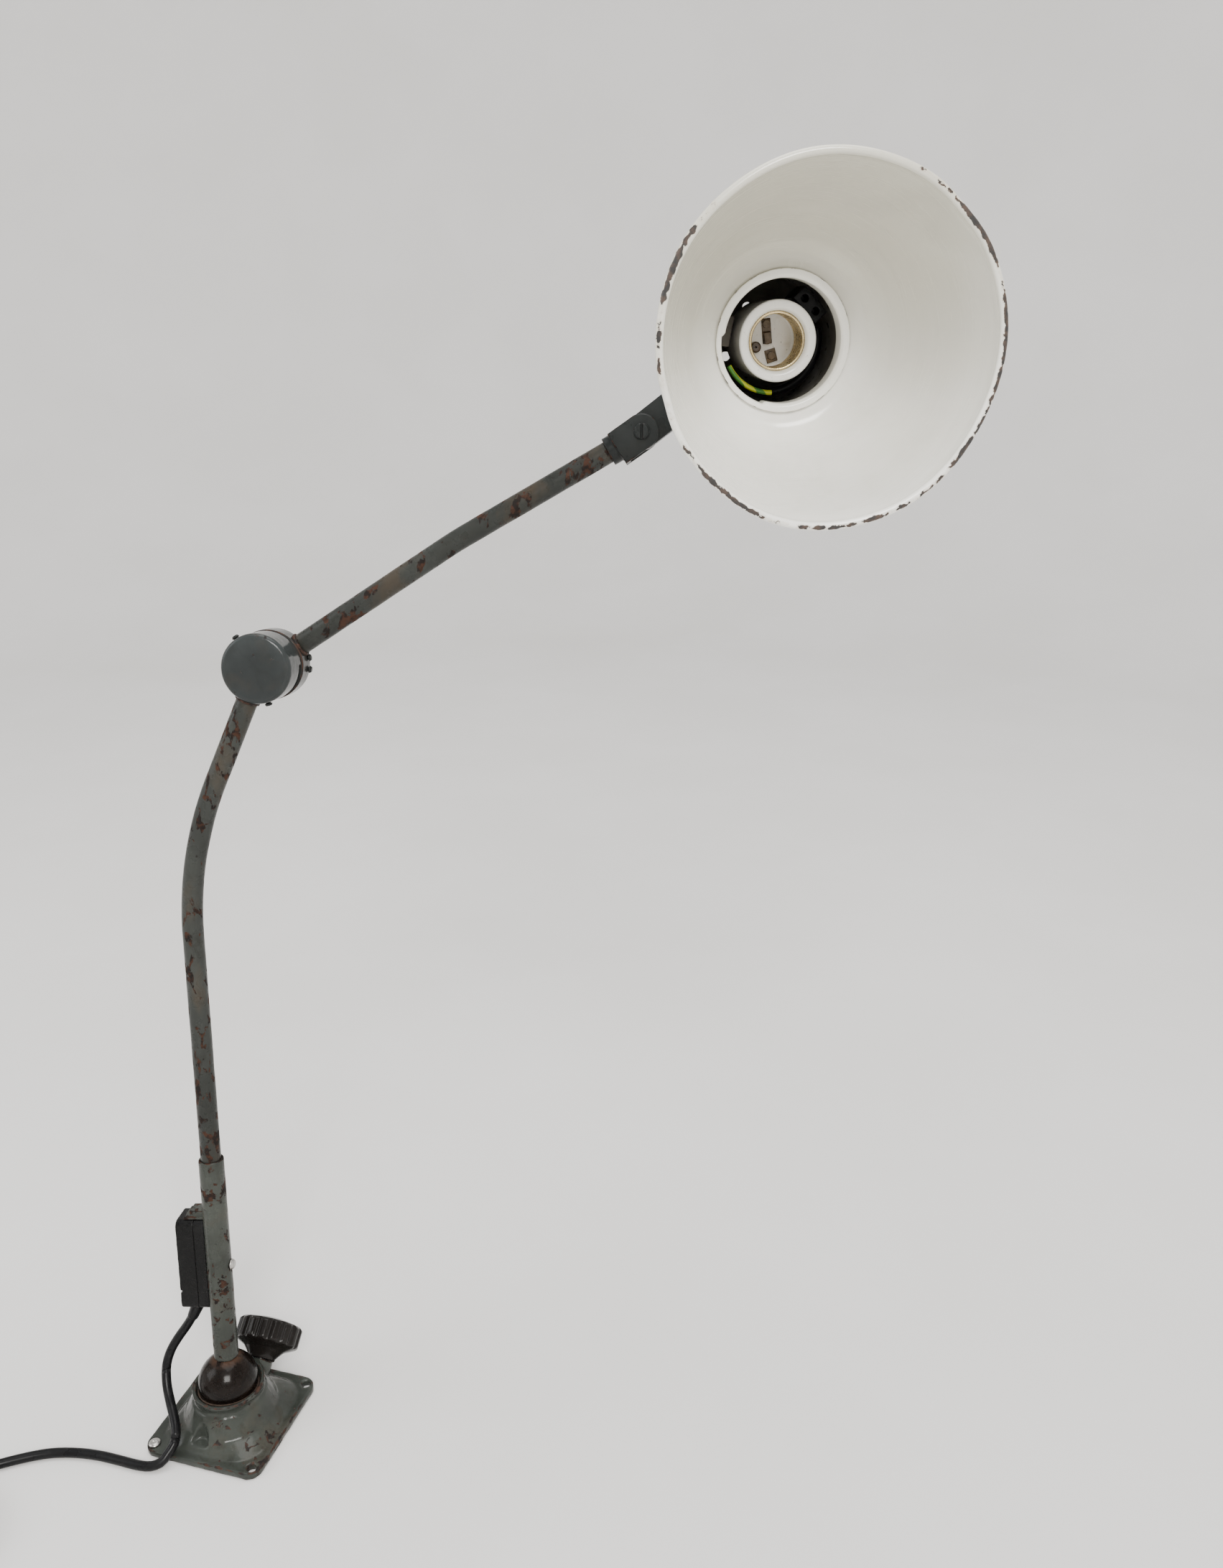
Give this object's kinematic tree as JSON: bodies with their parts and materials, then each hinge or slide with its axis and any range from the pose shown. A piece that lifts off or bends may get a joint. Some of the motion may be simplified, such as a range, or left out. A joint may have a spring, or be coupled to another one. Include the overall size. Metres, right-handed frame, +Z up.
{
  "type": "desk lamp",
  "caption": "Jointed workshop desk lamp: screw-down base with clamped ball joint, two bent tube arms, elbow, fork and enamelled bell shade",
  "frame": {"origin": "middle of the base plate's underside, on the surface that the lamp is screwed to", "axes": "+Z is up, square to the base plate; X and Y run along the plate's sides, and the arms reach towards +X"},
  "size_m": [0.6477, 0.4312, 0.7502],
  "materials": {
    "base_paint": "worn grey-green hammered paint on cast iron",
    "arm_paint": "worn grey paint with rust showing",
    "dark_paint": "dark grey gloss paint",
    "enamel": "white vitreous enamel, chipped at the rim",
    "bakelite": "black bakelite",
    "black_plastic": "black moulded plastic",
    "ball_iron": "dark browned iron, worn glossy",
    "steel": "zinc-plated steel",
    "brass": "dull brass",
    "porcelain": "glazed white porcelain",
    "fibre": "brown friction fibre",
    "cord": "black flexible cord",
    "earth": "green and yellow insulation"
  },
  "bodies": {
    "base": {"base_casting": "base_paint", "seat_ring": "fibre", "clamp_cotter": "steel", "cord_floor": "cord", "cord_coil": "cord", "cord_tail": "cord", "coil_tie": "black_plastic", "plug_body": "black_plastic", "plug_pins": "brass"},
    "knob": {"clamp_knob": "bakelite", "clamp_stud": "steel"},
    "liner": {"friction_liner": "fibre"},
    "ball": {"ball": "ball_iron"},
    "lower_arm": {"sleeve": "arm_paint", "lower_tube": "arm_paint", "lower_cable": "cord", "elbow_drum": "arm_paint", "drum_plate": "steel", "drum_screws": "arm_paint", "elbow_bolt": "steel", "elbow_nut": "steel", "elbow_spring": "steel", "switch_bracket": "arm_paint", "switch_base": "black_plastic", "switch_cover": "black_plastic", "switch_screw": "steel", "cord_grommet": "cord", "cord_hanging": "cord"},
    "rocker": {"switch_rocker": "black_plastic"},
    "upper_arm": {"elbow_washer": "fibre", "elbow_hub": "ball_iron", "elbow_cup": "arm_paint", "cup_screws": "arm_paint", "upper_tube": "arm_paint", "upper_cable": "cord", "clevis_fork": "dark_paint", "fork_washers": "fibre", "fork_screw": "dark_paint", "fork_nut": "dark_paint"},
    "tongue": {"tongue": "dark_paint", "swivel_washer": "steel", "swivel_spring": "steel", "swivel_nut": "steel"},
    "head": {"lamp_housing": "arm_paint", "shade": "enamel", "neck_ring": "enamel", "lamp_holder": "porcelain", "brass_shell": "brass", "contacts": "brass", "contact_screws": "steel", "holder_nipple": "steel", "nipple_nut": "steel", "terminal_block": "bakelite", "earth_plate": "arm_paint", "earth_wire": "earth", "head_cable": "cord"}
  },
  "joints": [
    {"name": "lean_side", "type": "hinge", "parent": "base", "child": "liner", "pos_m": [0, 0, 0.033], "axis": [-0.2232, 0.9667, -0.1253], "range_deg": [-25, 12], "deforming": ["cord_hanging"]},
    {"name": "lean_fore", "type": "hinge", "parent": "liner", "child": "ball", "pos_m": [0, 0, 0.033], "axis": [0.9744, 0.225, 0], "range_deg": [-5, 25]},
    {"name": "arm_spin", "type": "hinge", "parent": "ball", "child": "lower_arm", "pos_m": [0, 0, 0.033], "axis": [-0.0401, 0.1194, 0.992], "range_deg": [-80, 80]},
    {"name": "rocker_tilt", "type": "hinge", "parent": "lower_arm", "child": "rocker", "pos_m": [-0.02558, 0.01152, 0.11556], "axis": [-0.2232, 0.9667, -0.1253], "range_deg": [-7, 7]},
    {"name": "elbow", "type": "hinge", "parent": "lower_arm", "child": "upper_arm", "pos_m": [0.03152, 0.06752, 0.49765], "axis": [-0.2232, 0.9667, -0.1253], "range_deg": [-60, 75]},
    {"name": "head_pitch", "type": "hinge", "parent": "upper_arm", "child": "tongue", "pos_m": [0.23648, 0.15543, 0.6272], "axis": [-0.2232, 0.9667, -0.1253], "range_deg": [-70, 70]},
    {"name": "head_swivel", "type": "hinge", "parent": "tongue", "child": "head", "pos_m": [0.29922, 0.17641, 0.67733], "axis": [0.7559, 0.2528, 0.604], "range_deg": [-57, 40]},
    {"name": "knob_turn", "type": "hinge", "parent": "base", "child": "knob", "pos_m": [0.0068, 0.023, 0.0214], "axis": [-0.0423, 0.8079, 0.5878], "range_deg": [0, 270]}
  ]
}
